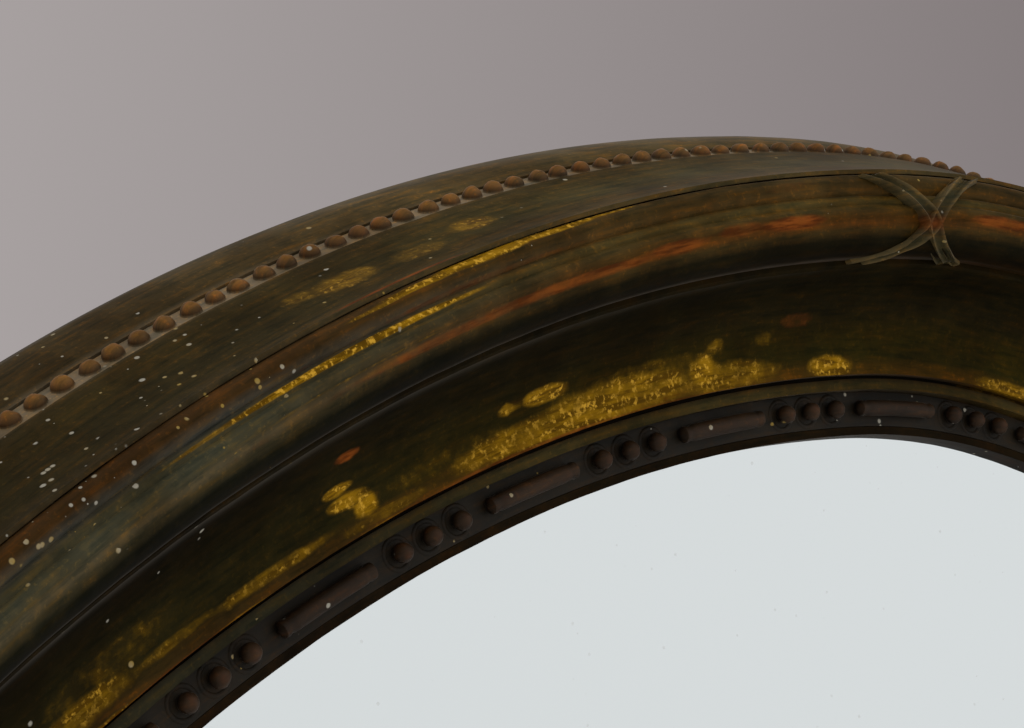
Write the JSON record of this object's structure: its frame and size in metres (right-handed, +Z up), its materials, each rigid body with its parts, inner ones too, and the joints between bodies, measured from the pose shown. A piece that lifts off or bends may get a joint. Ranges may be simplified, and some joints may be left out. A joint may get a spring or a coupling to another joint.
{
  "type": "oval mirror",
  "caption": "Tall oval wall mirror in a deep antique-style moulding: pearl row, reeded crest with crossed ribbon ties, hollow cove and a pearl-and-reel sight edge.",
  "frame": {"origin": "centre of the oval, on the wall's face where the rear faces of the wall pads lie", "axes": "+X to the right for a viewer who faces the mirror, +Z up along the oval's long axis, +Y into the wall, the room on the -Y side"},
  "size_m": [0.419, 0.0571, 0.604],
  "materials": {
    "toned_core": "pine core under gesso, toned dark olive over red-brown, rubbed through to old gold",
    "reed_ornament": "cast composition, red-brown and grey-green tone over worn gilding",
    "pearl_ornament": "cast composition pearls, worn copper-brown, pale dust in the gaps",
    "sight_ornament": "cast composition pearls and reels, purple-brown with coppery crests",
    "ribbon_ornament": "cast composition ribbon, rubbed red-orange and pale green",
    "spline_wood": "plain beech",
    "silvered_glass": "silvered float glass, 4 mm",
    "packing_board": "grey-brown card",
    "backing_wood": "bare hardwood ply, aged",
    "button_brass": "stamped, dulled",
    "screw_steel": "dulled steel",
    "hanger_steel": "zinc-plated strap",
    "ring_steel": "zinc-plated wire",
    "pad_felt": "dense wool felt"
  },
  "bodies": {
    "frame": {"core_right": "toned_core", "reeds_right": "reed_ornament", "pearl_row_right": "pearl_ornament", "sight_row_right": "sight_ornament", "core_upper_right": "toned_core", "reeds_upper_right": "reed_ornament", "pearl_row_upper_right": "pearl_ornament", "sight_row_upper_right": "sight_ornament", "core_top": "toned_core", "reeds_top": "reed_ornament", "pearl_row_top": "pearl_ornament", "sight_row_top": "sight_ornament", "core_upper_left": "toned_core", "reeds_upper_left": "reed_ornament", "pearl_row_upper_left": "pearl_ornament", "sight_row_upper_left": "sight_ornament", "core_left": "toned_core", "reeds_left": "reed_ornament", "pearl_row_left": "pearl_ornament", "sight_row_left": "sight_ornament", "core_lower_left": "toned_core", "reeds_lower_left": "reed_ornament", "pearl_row_lower_left": "pearl_ornament", "sight_row_lower_left": "sight_ornament", "core_bottom": "toned_core", "reeds_bottom": "reed_ornament", "pearl_row_bottom": "pearl_ornament", "sight_row_bottom": "sight_ornament", "core_lower_right": "toned_core", "reeds_lower_right": "reed_ornament", "pearl_row_lower_right": "pearl_ornament", "sight_row_lower_right": "sight_ornament", "ribbon_tie_upper_right": "ribbon_ornament", "ribbon_tie_upper_left": "ribbon_ornament", "ribbon_tie_lower_left": "ribbon_ornament", "ribbon_tie_lower_right": "ribbon_ornament", "joint_splines": "spline_wood", "mirror_glass": "silvered_glass", "packing_sheet": "packing_board", "backing_board": "backing_wood", "button_screws": "screw_steel", "hanger_strap_right": "hanger_steel", "hanger_strap_left": "hanger_steel", "hanger_screws": "screw_steel", "wall_pad_upper_right": "pad_felt", "wall_pad_upper_left": "pad_felt", "wall_pad_lower_left": "pad_felt", "wall_pad_lower_right": "pad_felt"},
    "turn_button_1": {"turn_button_1": "button_brass"},
    "turn_button_2": {"turn_button_2": "button_brass"},
    "turn_button_3": {"turn_button_3": "button_brass"},
    "turn_button_4": {"turn_button_4": "button_brass"},
    "turn_button_5": {"turn_button_5": "button_brass"},
    "turn_button_6": {"turn_button_6": "button_brass"},
    "turn_button_7": {"turn_button_7": "button_brass"},
    "turn_button_8": {"turn_button_8": "button_brass"},
    "hanger_ring_right": {"hanger_ring_right": "ring_steel"},
    "hanger_ring_left": {"hanger_ring_left": "ring_steel"}
  },
  "joints": [
    {"name": "turn_button_1_pivot", "type": "hinge", "parent": "frame", "child": "turn_button_1", "pos_m": [0.15124, -0.01005, 0.05373], "axis": [0, 1, 0], "range_deg": [-90, 90]},
    {"name": "turn_button_2_pivot", "type": "hinge", "parent": "frame", "child": "turn_button_2", "pos_m": [-0.15124, -0.01005, 0.05373], "axis": [0, 1, 0], "range_deg": [-90, 90]},
    {"name": "turn_button_3_pivot", "type": "hinge", "parent": "frame", "child": "turn_button_3", "pos_m": [-0.15124, -0.01005, -0.05373], "axis": [0, 1, 0], "range_deg": [-90, 90]},
    {"name": "turn_button_4_pivot", "type": "hinge", "parent": "frame", "child": "turn_button_4", "pos_m": [0.15124, -0.01005, -0.05373], "axis": [0, 1, 0], "range_deg": [-90, 90]},
    {"name": "turn_button_5_pivot", "type": "hinge", "parent": "frame", "child": "turn_button_5", "pos_m": [0.09455, -0.01005, 0.19744], "axis": [0, 1, 0], "range_deg": [-90, 90]},
    {"name": "turn_button_6_pivot", "type": "hinge", "parent": "frame", "child": "turn_button_6", "pos_m": [-0.09455, -0.01005, 0.19744], "axis": [0, 1, 0], "range_deg": [-90, 90]},
    {"name": "turn_button_7_pivot", "type": "hinge", "parent": "frame", "child": "turn_button_7", "pos_m": [-0.09455, -0.01005, -0.19744], "axis": [0, 1, 0], "range_deg": [-90, 90]},
    {"name": "turn_button_8_pivot", "type": "hinge", "parent": "frame", "child": "turn_button_8", "pos_m": [0.09455, -0.01005, -0.19744], "axis": [0, 1, 0], "range_deg": [-90, 90]},
    {"name": "hanger_ring_right_hinge", "type": "hinge", "parent": "frame", "child": "hanger_ring_right", "pos_m": [0.17507, -0.00312, 0.12125], "axis": [-1, 0, 0], "range_deg": [0, 150]},
    {"name": "hanger_ring_left_hinge", "type": "hinge", "parent": "frame", "child": "hanger_ring_left", "pos_m": [-0.17507, -0.00312, 0.12125], "axis": [-1, 0, 0], "range_deg": [0, 150]}
  ]
}
